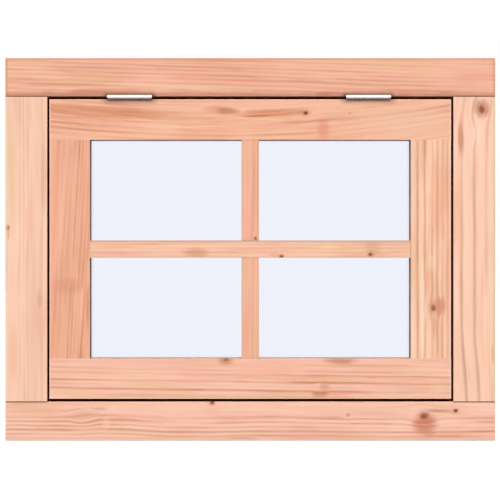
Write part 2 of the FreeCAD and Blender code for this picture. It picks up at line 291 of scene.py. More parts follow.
def grain_flow(tree, grain, board):
    """Grain space with the lines straightened."""
    bent = grain
    for along, across, radius, _ in board["knots"]:
        reach = soft_oval(tree, grain, (along, across), [radius * times for times in KNOT_REACH])
        offset = add(tree, "VectorMath", {0: grain, 1: (along, 0, across)}, operation="SUBTRACT")
        aside = add(tree, "VectorMath", {0: offset, 1: (0, 0, KNOT_PUSH)}, operation="MULTIPLY")
        push = add(tree, "VectorMath", {0: aside, "Scale": reach}, operation="SCALE")
        bent = add(tree, "VectorMath", {0: bent, 1: push}, operation="SUBTRACT")
    parts = add(tree, "SeparateXYZ", {0: bent})
    length, across = parts.outputs["X"], parts.outputs["Z"]
    lean = add(tree, "Math", {0: length, 1: board["bow"], 2: board["slope"]}, operation="MULTIPLY_ADD")
    across = add(tree, "Math", {0: length, 1: lean, 2: across}, operation="MULTIPLY_ADD")
    for start, end, shift in board["bends"]:
        back = ramp_over(tree, length, start, end, 0.0, -shift)
        across = add(tree, "Math", {0: across, 1: back}, operation="ADD")
    wander = stretched_noise(tree, grain, board["wander_lengths"], board["seed"], 1.0)
    across = add(tree, "Math", {0: wander, 1: 2 * board["wander"], 2: across}, operation="MULTIPLY_ADD")
    across = add(tree, "Math", {0: across, 1: board["wander"]}, operation="SUBTRACT")
    return add(tree, "CombineXYZ", {"X": length, "Y": parts.outputs["Y"], "Z": across})


print("knots part the grain to these many radii:", KNOT_REACH)

# %% [markdown]
# Now the rings. Each board has a list of years: where the late wood of that year crosses the middle of
# its face, and how strong it is, because a dry summer leaves a faint line. A colour ramp over the
# distance from the pith draws them, with a slow start on the pith side and a sharper end on the bark side.
# Past the width of the board the list starts again, so edges and end grain have rings too. Noise fades
# stretches of the lines, as planing does, and a board can have plain stretches where they nearly vanish.

# %% Growth rings
HALF_SPAN = 48.0
# Spans added to the count so that it stays above nought on the pith side as well
SPARE_SPANS = 50
# The shares of a line's width on the pith side and on the bark side of its middle
PITH_SIDE = 0.6
BARK_SIDE = 0.4


def ring_lines(tree, flow, node, board):
    """Late wood, from 0 in the early wood to 1 in the middle of a strong line."""
    low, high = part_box(node)
    face = (low.y - high.y) / 2 / MM
    depth, beside = board["pith"]

    def distance_at(across):
        return math.hypot(face - depth, across - beside)

    nearest = distance_at(-HALF_SPAN)
    span = distance_at(HALF_SPAN) - nearest
    offset = add(tree, "VectorMath", {0: flow, 1: (0, depth, beside)}, operation="SUBTRACT")
    flat = add(tree, "VectorMath", {0: offset, 1: (0, 1, 1)}, operation="MULTIPLY")
    radius = add(tree, "VectorMath", {0: flat}, operation="LENGTH").outputs["Value"]
    first = SPARE_SPANS - nearest / span
    spans = add(tree, "Math", {0: radius, 1: 1 / span, 2: first}, operation="MULTIPLY_ADD")
    profile = add(tree, "ValToRGB", {"Fac": add(tree, "Math", {0: spans}, operation="FRACT")})
    profile.color_ramp.interpolation = "EASE"
    stops = profile.color_ramp.elements
    stops[0].color = stops[-1].color = (0, 0, 0, 1)
    width = board["line_width"] / span
    for across, strength in board["years"]:
        middle = (distance_at(across) - nearest) / span
        start, end = middle - PITH_SIDE * width, middle + BARK_SIDE * width
        for place, level in ((start, 0), (middle, strength), (end, 0)):
            stops.new(place).color = (level, level, level, 1)
    patchy = stretched_noise(tree, flow, board["fading"], board["seed"] + 5, 2.0)
    planed = ramp_over(tree, patchy, 0.35, 0.6, 0.4)
    line = add(tree, "Math", {0: profile, 1: planed}, operation="MULTIPLY")
    for along, across, half_length, half_width, calm in board["plain"]:
        oval = soft_oval(tree, flow, (along, across), (half_length, half_width), 0.3)
        keep = add(tree, "Math", {0: oval, 1: -calm, 2: 1.0}, operation="MULTIPLY_ADD")
        line = add(tree, "Math", {0: line, 1: keep}, operation="MULTIPLY")
    return line


print("rings are listed over millimetres of face:", 2 * HALF_SPAN)

# %% [markdown]
# The long edges of the boards were eased with a few strokes of sandpaper, and the arris beside the gap
# round the sash is painted paler, as a painted highlight. Inside the gap no light gets far, so the wood
# there is painted dark a little way in, as painted shade, and so are the sides of the rebates in front of
# the glass. Where a jamb meets the head or the sill, dust marks the joint. A tint along the outer rim of
# the frame is painted shade that tones down the light on its eased edge, and painted shadow lies on the
# wood round the hinge barrels. All of these follow from a place in the window alone, so each board can
# work them out for itself. Depths are in millimetres behind the front, and an edge is a pair of distances
# between which a mark fades out.

# %% Edges, gaps and joints
STOP_DEPTH = 45.5
JOINT_DEPTH = 43
REBATE_DEPTH = 24
GAP_EDGE = (2.6 * MM, 3.4 * MM)
ARRIS_EDGE = (2.6 * MM, 5.0 * MM)
REBATE_EDGE = (1.5 * MM, 2.5 * MM)
BARREL_EDGE = 2.0 * MM


def outside_of(tree, place, low, high):
    """How far a place lies outside a rectangle on the face. Inside the rectangle it is negative."""
    offset = add(tree, "VectorMath", {0: place, 1: (low + high) / 2}, operation="SUBTRACT")
    positive = add(tree, "VectorMath", {0: offset}, operation="ABSOLUTE")
    beyond = add(tree, "VectorMath", {0: positive, 1: (high - low) / 2}, operation="SUBTRACT")
    parts = add(tree, "SeparateXYZ", {0: beyond})
    return add(tree, "Math", {0: parts.outputs["X"], 1: parts.outputs["Z"]}, operation="MAXIMUM")


def depth_between(tree, place, start, end, fade):
    """One where a place lies between two depths behind the front, in millimetres, with a soft start."""
    depth = add(tree, "SeparateXYZ", {0: place}).outputs["Y"]
    begins = ramp_over(tree, depth, front_y + start * MM, front_y + (start + fade) * MM)
    ends = ramp_over(tree, depth, front_y + end * MM, front_y + (end + 1) * MM, 1.0, 0.0)
    return add(tree, "Math", {0: begins, 1: ends}, operation="MULTIPLY")


def on_front(tree, place):
    """One on the front faces of the boards, fading out behind their eased edges."""
    return depth_between(tree, place, -3, 1, 1)


def gap_distance(tree, place):
    """Distance across the face from the middle line of the gap round the sash."""
    signed = outside_of(tree, place, (opening_low + sash_low) / 2, (opening_high + sash_high) / 2)
    return add(tree, "Math", {0: signed}, operation="ABSOLUTE")


def shaded_gap(tree, place, start, fade):
    """One on the faces inside the gap, where shade is painted, from the given depth to the stop."""
    beside = ramp_over(tree, gap_distance(tree, place), *GAP_EDGE, 1.0, 0.0)
    inside = depth_between(tree, place, start, STOP_DEPTH, fade)
    return add(tree, "Math", {0: beside, 1: inside}, operation="MULTIPLY")


def dusty_rebate(tree, place):
    """One on the sides of the rebates in front of the glass, where shade is painted."""
    outside = outside_of(tree, place, daylight_low, daylight_high)
    beside = ramp_over(tree, outside, *REBATE_EDGE, 1.0, 0.0)
    inside = depth_between(tree, place, 0.4, REBATE_DEPTH, 0.7)
    return add(tree, "Math", {0: beside, 1: inside}, operation="MULTIPLY")


def dusty_joint(tree, place, width):
    """One on the joint lines between the jambs and the head and sill, as far back as the stop."""
    parts = add(tree, "SeparateXYZ", {0: place})
    from_middle = add(tree, "Math", {0: parts.outputs["X"]}, operation="ABSOLUTE")
    on_jamb = ramp_over(tree, from_middle, opening_high.x - 0.5 * MM, opening_high.x + 0.5 * MM)
    level = outside_of(tree, place, Vector((-1, 0, opening_low.z)), Vector((1, 0, opening_high.z)))
    distance = add(tree, "Math", {0: level}, operation="ABSOLUTE")
    close = ramp_over(tree, distance, 0.2 * width * MM, width * MM, 1.0, 0.0)
    mark = add(tree, "Math", {0: on_jamb, 1: close}, operation="MULTIPLY")
    before_stop = depth_between(tree, place, -3, JOINT_DEPTH, 1)
    return add(tree, "Math", {0: mark, 1: before_stop}, operation="MULTIPLY")


def rim_shade(tree, place, width, strength):
    """Painted shade along the outer edges of the frame, on its front."""
    inside = outside_of(tree, place, cad_box[0], cad_box[1])
    close = ramp_over(tree, inside, -width * MM, -0.3 * width * MM, 0.0, strength)
    return add(tree, "Math", {0: close, 1: on_front(tree, place)}, operation="MULTIPLY")


def hinge_oil(tree, place, side, reach, strength):
    """Painted shadow on the front of the wood, as far from a hinge as the reach in millimetres."""
    low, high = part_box("hinge_" + side + "_pin")
    offset = add(tree, "VectorMath", {0: place, 1: (low + high) / 2}, operation="SUBTRACT")
    parts = add(tree, "SeparateXYZ", {0: add(tree, "VectorMath", {0: offset}, operation="ABSOLUTE")})
    beside = add(tree, "Math", {0: parts.outputs["X"], 1: (high.x - low.x) / 2}, operation="SUBTRACT")
    beside = add(tree, "Math", {0: beside, 1: 0.0}, operation="MAXIMUM")
    spot = add(tree, "CombineXYZ", {"X": beside, "Z": parts.outputs["Z"]})
    distance = add(tree, "VectorMath", {0: spot}, operation="LENGTH").outputs["Value"]
    close = ramp_over(tree, distance, BARREL_EDGE, reach * MM, strength, 0.0)
    return add(tree, "Math", {0: close, 1: on_front(tree, place)}, operation="MULTIPLY")


print("daylight in the sash:", [round(v, 4) for v in daylight_high - daylight_low])

# %% [markdown]
# One function puts a board together. Its tone starts with the rings. Noise along the fibres makes soft
# streaks and short dashes, and slow noise makes one end a little darker than the other. Real fibres are
# far thinner than a pixel here, so the streaks are drawn about three millimetres wide. The tone picks a
# colour between pale early wood, the board's ground and its late wood, and another slow noise leans it
# towards pink or tan. Bands, stains, knots and the marks of the last cell come on top, and some of these
# marks are painted shade, painted shadow or painted highlight.

# %% Planed Douglas fir
KNOT_CORE = "#7e3f1a"
KNOT_HALO = "#c67c58"
# Cream is the painted highlight, gap and rebate colours are painted shade, the hinge colour painted shadow
CREAM = "#ffe2cb"
GAP_SHADE_COLOUR = "#6a2209"
JOINT_DUST = "#5c2607"
REBATE_SHADE_COLOUR = "#664430"
HINGE_SHADOW_COLOUR = "#6e564c"
TAN = "#e8bb8a"
PINK = "#ee9f88"
# Lengths of the noise patches along, through and across a board
FIBRES = (140, 6, 3.0)
DASHES = (45, 6, 3.0)
CLOUDS = (200, 60, 24)
DRIFT = (150, 60, 12)
STAIN_SHAKE = (40, 20, 10)
KNOT_SHAKE = (9, 9, 6)
# Tone of a board before its lines and streaks, and the tone that gets the ground colour
BASE_TONE = 0.3
GROUND_TONE = 0.36
# A ragged outline moves by this share of the oval's half size, and at most by these millimetres
SHAKE_SHARE = 0.6
MOST_SHAKE = (50, 14)
# Sizes of a knot's halo and core in radii, and the strength of its halo
HALO_SIZE = (2.5, 2.0)
CORE_SIZE = (1.3, 1.0)
HALO_STRENGTH = 0.75
plain_board = {
    "slope": 0.0, "bow": 0.0, "bends": [], "wander": 2.5, "wander_lengths": (320, 120, 70),
    "pith": (60.0, -260.0), "line_width": 7.0, "fading": (190, 40, 9), "plain": [],
    "lines": 0.6, "streaks": 0.3, "dashes": 0.14, "clouds": 0.45, "tan": 0.35, "pink": 0.35,
    "knots": [], "stains": [], "bands": [], "arris": 0.5, "joints": 0.0, "rebate": 0.0, "oil": None,
    "gap_shade": [(0.4, 1.0, GAP_SHADE_COLOUR)], "rim": (3.0, 0.0, CREAM),
}


def tinted(tree, below, factor, hex_colour):
    """The colour below, covered by another one as far as the factor says."""
    return add(tree, "Mix", {"Factor": factor, "A": below, "B": linear(hex_colour)}, data_type="RGBA")


def share(tree, mask, strength, base=0.0):
    """A mask at part of its strength, above a base."""
    return add(tree, "Math", {0: mask, 1: strength, 2: base}, operation="MULTIPLY_ADD")


def early_and_late_wood(tree, board, flow, line, fibre):
    """The plain grain of a board."""
    seed = board["seed"]
    dash = ramp_over(tree, stretched_noise(tree, flow, DASHES, seed + 41, 1.0), 0.56, 0.74)
    cloud = stretched_noise(tree, flow, CLOUDS, seed + 11, 2.0)
    tone = share(tree, line, board["lines"], BASE_TONE - board["streaks"] - board["clouds"])
    tone = add(tree, "Math", {0: fibre, 1: 2 * board["streaks"], 2: tone}, operation="MULTIPLY_ADD")
    tone = add(tree, "Math", {0: dash, 1: board["dashes"], 2: tone}, operation="MULTIPLY_ADD")
    tone = add(tree, "Math", {0: cloud, 1: 2 * board["clouds"], 2: tone}, operation="MULTIPLY_ADD")
    wood = add(tree, "ValToRGB", {"Fac": tone})
    wood.color_ramp.elements[0].color = linear(board["pale"])
    wood.color_ramp.elements[-1].color = linear(board["late"])
    wood.color_ramp.elements.new(GROUND_TONE).color = linear(board["ground"])
    drift = stretched_noise(tree, flow, DRIFT, seed + 31, 1.0)
    wood = tinted(tree, wood, ramp_over(tree, drift, 0.52, 0.75, 0.0, board["tan"]), TAN)
    return tinted(tree, wood, ramp_over(tree, drift, 0.48, 0.25, 0.0, board["pink"]), PINK)


def shaken_oval(tree, space, shake, centre, half_size, solid):
    """A soft oval with a ragged outline."""
    along, across = [min(most, SHAKE_SHARE * half) for most, half in zip(MOST_SHAKE, half_size)]
    reach = (along, 0, across)
    uneven = add(tree, "VectorMath", {0: shake, 1: reach, 2: space}, operation="MULTIPLY_ADD")
    return soft_oval(tree, uneven, centre, half_size, solid)


def shake_of(tree, space, lengths, seed):
    """Noise to shake a space with, as likely one way as the other."""
    noise = stretched_noise(tree, space, lengths, seed).outputs["Color"]
    return add(tree, "VectorMath", {0: noise, 1: (0.5, 0.5, 0.5)}, operation="SUBTRACT")


def stains_and_knots(tree, board, grain, flow, fibre, wood):
    """Bands that follow the grain, stains that stay in place, and knots."""
    for space, marks, least in ((flow, board["bands"], 0.6), (grain, board["stains"], 0.8)):
        streaky = ramp_over(tree, fibre, 0.38, 0.58, least)
        shake = shake_of(tree, space, STAIN_SHAKE, board["seed"] + 53)
        for along, across, half_length, half_width, strength, hex_colour in marks:
            oval = shaken_oval(tree, space, shake, (along, across), (half_length, half_width), 0.3)
            oval = add(tree, "Math", {0: oval, 1: streaky}, operation="MULTIPLY")
            wood = tinted(tree, wood, share(tree, oval, strength), hex_colour)
    shake = shake_of(tree, grain, KNOT_SHAKE, board["seed"] + 61)
    for along, across, radius, darkness in board["knots"]:
        halo_size = [radius * times for times in HALO_SIZE]
        core_size = [radius * times for times in CORE_SIZE]
        halo = shaken_oval(tree, grain, shake, (along, across), halo_size, 0.0)
        core = shaken_oval(tree, grain, shake, (along, across), core_size, 0.3)
        wood = tinted(tree, wood, share(tree, halo, darkness * HALO_STRENGTH), KNOT_HALO)
        wood = tinted(tree, wood, share(tree, core, darkness), KNOT_CORE)
    return wood


def edge_marks(tree, board, place, wood):
    """Painted highlight on arrises, painted shade on rim, rebates, gap and round hinges, and dusty joints.
    """
    width, strength, hex_colour = board["rim"]
    # Painted shade along the outer rim of the frame
    wood = tinted(tree, wood, rim_shade(tree, place, width, strength), hex_colour)
    # Painted highlight on the arris beside the gap
    arris_highlight_mask = ramp_over(tree, gap_distance(tree, place), *ARRIS_EDGE, board["arris"], 0.0)
    wood = tinted(tree, wood, arris_highlight_mask, CREAM)
    if board["joints"]:
        wood = tinted(tree, wood, dusty_joint(tree, place, board["joints"]), JOINT_DUST)
    # Painted shade on the sides of the rebates in front of the glass
    if board["rebate"]:
        wood = tinted(tree, wood, share(tree, dusty_rebate(tree, place), board["rebate"]), REBATE_SHADE_COLOUR)
    # Painted shadow on the wood round the hinge barrels
    if board["oil"]:
        for side in ("left", "right"):
            wood = tinted(tree, wood, hinge_oil(tree, place, side, *board["oil"]), HINGE_SHADOW_COLOUR)
    # Painted shade inside the gap round the sash
    for start, fade, shade_colour in board["gap_shade"]:
        wood = tinted(tree, wood, shaded_gap(tree, place, start, fade), shade_colour)
    return wood


def douglas_fir(node, traits):
    """The planed fir of one board, cut from its own place in the trunk."""
    board = {**plain_board, **traits}
    material, tree = new_material("planed_douglas_fir_" + node)
    grain = grain_space(tree, node, board["along"])
    flow = grain_flow(tree, grain, board)
    line = ring_lines(tree, flow, node, board)
    fibre = stretched_noise(tree, flow, FIBRES, board["seed"] + 23, 2.0)
    wood = early_and_late_wood(tree, board, flow, line, fibre)
    wood = stains_and_knots(tree, board, grain, flow, fibre, wood)
    wood = edge_marks(tree, board, add(tree, "TexCoord").outputs["Object"], wood)
    height = share(tree, line, 0.5, fibre)
    relief = add(tree, "Bump", {"Strength": 0.2, "Distance": 0.2 * MM, "Height": height})
    rough = add(tree, "MapRange", {"Value": line, "To Min": 0.62, "To Max": 0.5})
    coat = {"Base Color": wood, "Roughness": rough, "Normal": relief, "Specular IOR Level": 0.25}
    add(tree, "OutputMaterial", {"Surface": add(tree, "BsdfPrincipled", coat)})
    return material


print("boards share", len(plain_board), "traits")

# %% [markdown]
# The boards come from different trees, so each has its own traits, and those it doesn't name are the plain
# board's. Places are in millimetres from the middle of the face, along and across. A year has a place
# across and a strength. A knot has a place, a radius and a darkness, and one without darkness lies deeper
# and only parts the grain. Stains and bands have a place, half their length and width, a strength and a
# colour: resin, or the pink wood beside a knot, and a few stains are painted shade. A stain stays where it
# is, and a band follows the grain. A bend has a start, an end and a shift across, and a plain stretch a
# place, half its size and how far it calms the lines. The painted shade on the rim has a width, a strength
# and a colour, the painted shadow round the hinges a reach and a strength, and the painted shade in the
# gap the depth where it starts, the depth in which it thickens, and a colour.

# %% Boards of the fixed frame
RED_BROWN = "#c67c59"
frame_boards = {
    "frame_head": {
        "along": "X", "seed": 3.1, "pale": "#f8c2a9", "ground": "#edb398", "late": "#cc8567",
        "years": [(37, 0.4), (29.5, 0.7), (23, 0.5), (16.5, 0.6), (9.5, 0.55), (1.5, 0.7), (-6, 0.55),
                  (-15, 0.6), (-23, 0.5), (-33, 0.5)],
        "slope": 0.03, "line_width": 6.5, "joints": 1.6, "arris": 0.0, "oil": (12, 1.0),
        "gap_shade": [(0.4, 1.5, "#d4735c"), (23, 14, GAP_SHADE_COLOUR)], "rim": (6.0, 0.6, "#d08a66"),
        "stains": [(-380, 22, 80, 4, 0.5, TAN), (-45, 29.5, 150, 3.5, 0.5, "#c9a070"),
                   (262, 24, 100, 6, 0.5, TAN), (310, 6, 35, 22, 0.35, TAN),
                   (405, -4, 60, 30, 0.35, PINK), (-350, -14, 110, 6, 0.4, RED_BROWN),
                   # The long stain at -38 across, along the foot of the head, is painted shade above the
                   # gap
                   (-262, -26, 100, 9, 0.6, "#cb7858"), (0, -38, 3000, 17, 0.75, "#bb7460"),
                   (132, -31, 20, 6, 0.6, "#c46d4b"), (277, -33, 20, 4, 0.6, "#b96f5a")],
        "plain": [(400, 10, 80, 45, 0.7)],
    },
    "frame_sill": {
        "along": "X", "seed": 8.4, "pale": "#fdcdb6", "ground": "#f3bfa8", "late": "#cc896d",
        "years": [(26, 0.2), (17, 0.3), (6, 0.6), (-2.7, 0.85), (-10, 0.8), (-18, 0.95), (-27, 0.85),
                  (-33, 0.4)],
        "wander": 4.0, "wander_lengths": (220, 90, 60), "line_width": 8.5, "joints": 2.2, "arris": 0.0,
        "bends": [(-130, -240, 5), (-270, -330, -3)], "gap_shade": [(1.2, 1.5, GAP_SHADE_COLOUR)],
        "knots": [(318, 9.5, 8.5, 0.78), (375.7, 19, 4.0, 1.0), (179, 11.5, 3.4, 0.3),
                  (-69.6, 34, 4.2, 0.85), (-305, 9, 6, 0.0)],
        "bands": [(-330, 17, 26, 2.6, 0.6, "#d99a80"), (-275, 17, 22, 3.2, 0.6, "#c9996f")],
        "stains": [(319.5, -6, 30, 28, 0.95, "#c97e62"), (345, 19, 34, 4.5, 0.65, RED_BROWN),
                   (-70, 24, 26, 14, 0.5, "#efa080"), (-312, 17, 24, 9, 0.4, "#f0a896"),
                   (-286, 14, 16, 6, 0.4, "#dfb487"), (-264, -4, 11, 14, 0.4, "#fbd2b8"),
                   (-253, 24, 20, 9, 0.4, "#fbd6ba"), (-395, 18, 80, 16, 0.3, "#ecb48c"),
                   # The stain at -411 along, under the left joint, is a painted shadow
                   (-411, 32, 40, 5, 0.45, "#d9a37f"), (40, 26, 340, 14, 0.4, "#fbd3bb"),
                   (272, -8, 26, 13, 0.4, "#f8d0c0"), (-15, -31, 36, 2.4, 0.6, "#9c7350"),
                   (0, -31, 3000, 5, 0.35, "#d3a08c"), (0, -37, 3000, 4.5, 0.75, "#f2dccf")],
        "plain": [(40, 24, 320, 15, 0.75)],
    },
    "frame_jamb_left": {
        "along": "Z", "seed": 14.2, "pale": "#fcd2ba", "ground": "#f5c8af", "late": "#dca68a",
        "years": [(28, 0.7), (14, 0.25), (3, 0.65), (-4.3, 0.6), (-11, 0.5), (-30, 0.2)],
        "line_width": 5.0, "lines": 0.5, "streaks": 0.16, "dashes": 0.06, "fading": (90, 40, 9),
        "joints": 1.0, "arris": 0.2, "gap_shade": [(-0.16, 0.5, GAP_SHADE_COLOUR)], "rim": (7.0, 0.6, "#efd0ac"),
        "knots": [(39, -34.5, 4.2, 0.85)],
        "stains": [(150, -26, 145, 11, 0.55, "#e4c08f"), (-190, -24, 70, 12, 0.4, "#f3b28a"),
                   (-125, 16, 180, 27, 0.4, "#e0ad93"), (-92, 24, 22, 7, 0.45, "#cd9a80"),
                   (140, 32, 95, 7, 0.6, "#d8a688"), (130, 0.5, 120, 2.6, 0.3, "#ffe2ca"),
                   (28, -34, 16, 4, 0.6, "#d38a6c"), (-40, -36, 70, 3, 0.4, "#dcaaa0")],
    },
    "frame_jamb_right": {
        "along": "Z", "seed": 21.7, "pale": "#fcd2b9", "ground": "#f8c8af", "late": "#cf9a7d",
        "years": [(23.5, 0.55), (1.2, 0.8), (-22.2, 0.9)],
        "bends": [(-130, -290, 9.5), (235, 300, 8)], "line_width": 10.0, "lines": 0.6, "streaks": 0.16,
        "dashes": 0.04, "wander": 2.2, "wander_lengths": (110, 120, 60), "fading": (260, 60, 20),
        "joints": 1.0, "arris": 0.2, "gap_shade": [(-0.2, 0.5, GAP_SHADE_COLOUR)], "rim": (5.0, 0.75, "#d6c093"),
        "knots": [(256, 14, 7.8, 0.8), (208, -12, 6, 0.0)],
        "stains": [(258, 14, 26, 22, 0.85, "#bd8165"), (203, -25, 52, 9, 0.5, "#c98060"),
                   (202, -24.5, 32, 7, 0.45, "#c07a5a"), (90, -31, 120, 8, 0.4, "#f1b083"),
                   (0, 27, 230, 8, 0.35, "#f0d2ac"), (-193, 34, 26, 3, 0.6, "#dd8a6a"),
                   (215, 6, 28, 12, 0.4, "#fbdcc0")],
    },
}
for node, board in frame_boards.items():
    paint(douglas_fir(node, board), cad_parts[node])
print("frame boards:", len(frame_boards))

# %% [markdown]
# The rails of the sash run through from side to side, and the stiles stand between them. Their grain is
# livelier than the frame's, with a black knot and brown bands in the top rail.

# %% Boards of the sash
sash_boards = {
    "sash_top_rail": {
        "along": "X", "seed": 30.3, "pale": "#fac4a9", "ground": "#f0b597", "late": "#cb8362",
        "years": [(33, 0.35), (24, 0.4), (14, 0.3), (-8, 0.8), (-18.5, 0.9), (-28, 0.9), (-37.5, 0.7)],
        "slope": -0.024, "bow": -0.00019, "line_width": 10.0, "lines": 0.5,
        "rebate": 0.85, "oil": (18, 0.65),
        "knots": [(101.4, 12, 4.3, 1.0), (182, 12, 1.8, 0.4)],
        "bands": [(-290, 6, 270, 16, 0.95, "#d28965"), (38, 10, 85, 11, 0.95, "#d48a66"),
                  (15, 5.5, 34, 2.4, 0.7, "#a9633f")],
        "stains": [(-60, 17, 38, 11, 0.5, "#cd8a5f"), (-41, 16, 28, 9, 0.72, "#b8744f"),
                   (95, 13, 20, 6, 0.5, "#c07a55"), (134, -18, 16, 26, 0.55, "#dc866b"),
                   (275, -5, 140, 38, 0.5, "#efc3a6"), (-73, -24, 80, 15, 0.4, "#e8a27f")],
        "plain": [(-10, -12, 130, 24, 0.85), (290, 0, 170, 60, 0.4)],
    },
    "sash_bottom_rail": {
        "along": "X", "seed": 37.9, "pale": "#fcc9b2", "ground": "#f2bba3", "late": "#ca8768",
        "years": [(27, 0.3), (15.4, 0.7), (8, 0.75), (-6, 1.0), (-13, 0.3), (-21.2, 0.95), (-33.5, 0.5)],
        "slope": 0.0135, "line_width": 8.5, "lines": 0.55,
        "rebate": 0.95, "gap_shade": [(0.8, 1.0, GAP_SHADE_COLOUR)],
        "knots": [(-44, 35, 4.2, 0.6), (130, -18, 3.5, 0.0)],
        "stains": [(-44, 32, 20, 11, 0.7, RED_BROWN), (166, 33, 40, 10, 0.7, "#b97150"),
                   (136, -14, 13, 15, 0.5, "#c98a68"), (127, -28, 21, 9, 0.85, "#c47f5c"),
                   (160, -27, 28, 6, 0.6, "#ee968a"), (-60, -31, 280, 5.5, 0.55, "#e2bd98"),
                   (275, -31, 150, 5, 0.4, "#e6c09a"), (345, -18, 22, 12, 0.3, "#f0cda5"),
                   (30, 20, 90, 16, 0.4, "#f4b29d")],
        "bands": [(225, 26.9, 120, 4.5, 0.55, "#d99a7c")],
        "plain": [(-160, 27, 220, 12, 0.7), (20, 20, 100, 18, 0.7), (290, -21, 150, 7, 0.6)],
    },
    "sash_stile_left": {
        "along": "Z", "seed": 44.6, "pale": "#f4b89f", "ground": "#e9aa8d", "late": "#c57d5b",
        "years": [(32.3, 0.8), (26.4, 0.5), (19, 0.3), (12.3, 0.75), (7.4, 1.0), (-3, 0.25), (-12, 0.3),
                  (-21, 0.3), (-30, 0.25)],
        "slope": -0.058, "line_width": 6.0, "rebate": 0.85, "gap_shade": [(-0.1, 0.6, GAP_SHADE_COLOUR)],
        "bands": [(-110, 27, 70, 3, 0.6, "#fcc8a4"), (-60, 16, 60, 2.5, 0.4, "#fcc8a4")],
        "plain": [(-40, 6, 40, 18, 0.8)],
        "stains": [(-66, -2, 20, 36, 0.42, "#d18b6e"), (100, -25, 120, 7, 0.5, "#f0a277"),
                   (-160, -26, 45, 5, 0.55, "#f2a678"), (-68, -26, 22, 8, 0.5, "#ec9585"),
                   (-100, 33, 60, 4, 0.5, "#bd6c4a")],
    },
    "sash_stile_right": {
        "along": "Z", "seed": 52.8, "pale": "#ffd7ba", "ground": "#f5c4a7", "late": "#cb8c68",
        "years": [(31, 0.5), (22, 0.6), (12.9, 0.8), (3.7, 0.7), (-10.5, 1.0), (-23.7, 0.9)],
        "line_width": 8.5, "lines": 0.6, "rebate": 0.9, "gap_shade": [(-0.2, 0.6, GAP_SHADE_COLOUR)],
        "knots": [(-108, 4.5, 5.8, 0.72)],
        "stains": [(100, 14, 120, 25, 0.45, "#e7a17e"), (-110, -16, 150, 7, 0.7, "#fee0c4"),
                   (-25, 0, 24, 13, 0.4, "#fdd9b8"), (-60, 31, 140, 4.5, 0.45, "#ee9f8e"),
                   (-140, 6, 34, 3, 0.5, "#c98a62"), (-104, 15, 24, 16, 0.75, "#d08866")],
    },
}
for node, board in sash_boards.items():
    paint(douglas_fir(node, board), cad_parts[node])
print("sash boards:", len(sash_boards))

# %% [markdown]
# The bars are thin, so few years fit on them, and their long edges are painted a little darker, as painted
# shade. The beads on the inside are so slim that one finish does for all that lie, and another for all
# that stand.

# %% Glazing bars and beads
bars = {
    "bar_horizontal": {
        "along": "X", "seed": 60.5, "pale": "#fdcbb1", "ground": "#f3bfa4", "late": "#ce926f",
        "years": [(36, 0.4), (27, 0.5), (18, 0.4), (9, 0.5), (2, 0.6), (-6, 0.5), (-13, 0.4), (-24, 0.5)],
        "line_width": 5.0,
        "knots": [(56.7, -13, 3.4, 0.95), (220, -9.8, 4.2, 0.88)],
        "stains": [(170, 2, 150, 15, 0.35, "#e9c198"), (-230, 4.5, 75, 5.5, 0.5, "#f2a981"),
                   (-100, 6, 36, 3.5, 0.35, "#fbc592"), (-230, -8, 75, 6, 0.35, "#dda892"),
                   (-100, -7, 32, 11, 0.62, "#cb8763"), (-190, 5, 42, 3.5, 0.5, "#ffcfa2"),
                   (145, 3.5, 27, 3.5, 0.5, "#fbdca6"), (45, -11, 14, 5, 0.45, "#e39a66"),
                   # The two long stains at 15 and -15.5 across are painted shade along the bar's edges
                   (224, 2, 22, 18, 0.5, "#d0976f"), (0, 15, 2000, 4.5, 0.6, "#c2977f"),
                   (0, -15.5, 2000, 4, 0.45, "#d9a594")],
    },
    "bar_vertical_upper": {
        "along": "Z", "seed": 68.1, "pale": "#f6b9a0", "ground": "#edaf95", "late": "#d29070",
        "years": [(32, 0.5), (20, 0.5), (6, 0.6), (-5, 0.4), (-18, 0.5)],
        "knots": [(-89, 9.6, 3.2, 0.75)],
        # Both stains are painted shade along the bar's edges
        "stains": [(0, 15.5, 2000, 5, 0.45, "#d2a390"), (0, -15.5, 2000, 3.5, 0.5, "#c99c8a")],
    },
    "bar_vertical_lower": {
        "along": "Z", "seed": 75.4, "pale": "#f8bfa3", "ground": "#edb397", "late": "#d39674",
        "years": [(32, 0.5), (20, 0.5), (5, 0.6), (-7, 0.4), (-18, 0.5)],
        # Both stains are painted shade along the bar's edges
        "stains": [(0, 15.5, 2000, 5, 0.45, "#d2a390"), (0, -15.5, 2000, 3.5, 0.5, "#c99c8a")],
    },
}
bar_traits = {"lines": 0.5, "arris": 0.0, "pith": (40.0, -180.0)}
for node, board in bars.items():
    paint(douglas_fir(node, {**bar_traits, **board}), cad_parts[node])
bead_board = {
    "seed": 83.0, "pale": "#fbc8aa", "ground": "#f1b999", "late": "#cd8d67",
    "years": [(36, 0.5), (27, 0.6), (18, 0.5), (9, 0.7), (0, 0.6), (-9, 0.6), (-18, 0.5), (-27, 0.6)],
}
beads = [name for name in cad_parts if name.startswith("glazing_bead")]
lying_beads = [name for name in beads if name.endswith(("_top", "_bottom"))]
standing_beads = [name for name in beads if name not in lying_beads]
for names, along in ((lying_beads, "X"), (standing_beads, "Z")):
    material = douglas_fir(names[0], {**bar_traits, **bead_board, "along": along})
    paint(material, *[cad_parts[name] for name in names])
print("bars:", len(bars), "beads:", len(beads))

# %% [markdown]
# The panes are plain float glass. A pane lets nearly all light through and mirrors a little, so it shows
# the white room behind with a faint blue cast. Lamps should shine through it as through a real pane, so
# shadow rays see clear film instead of glass, which also keeps the picture free of grain.

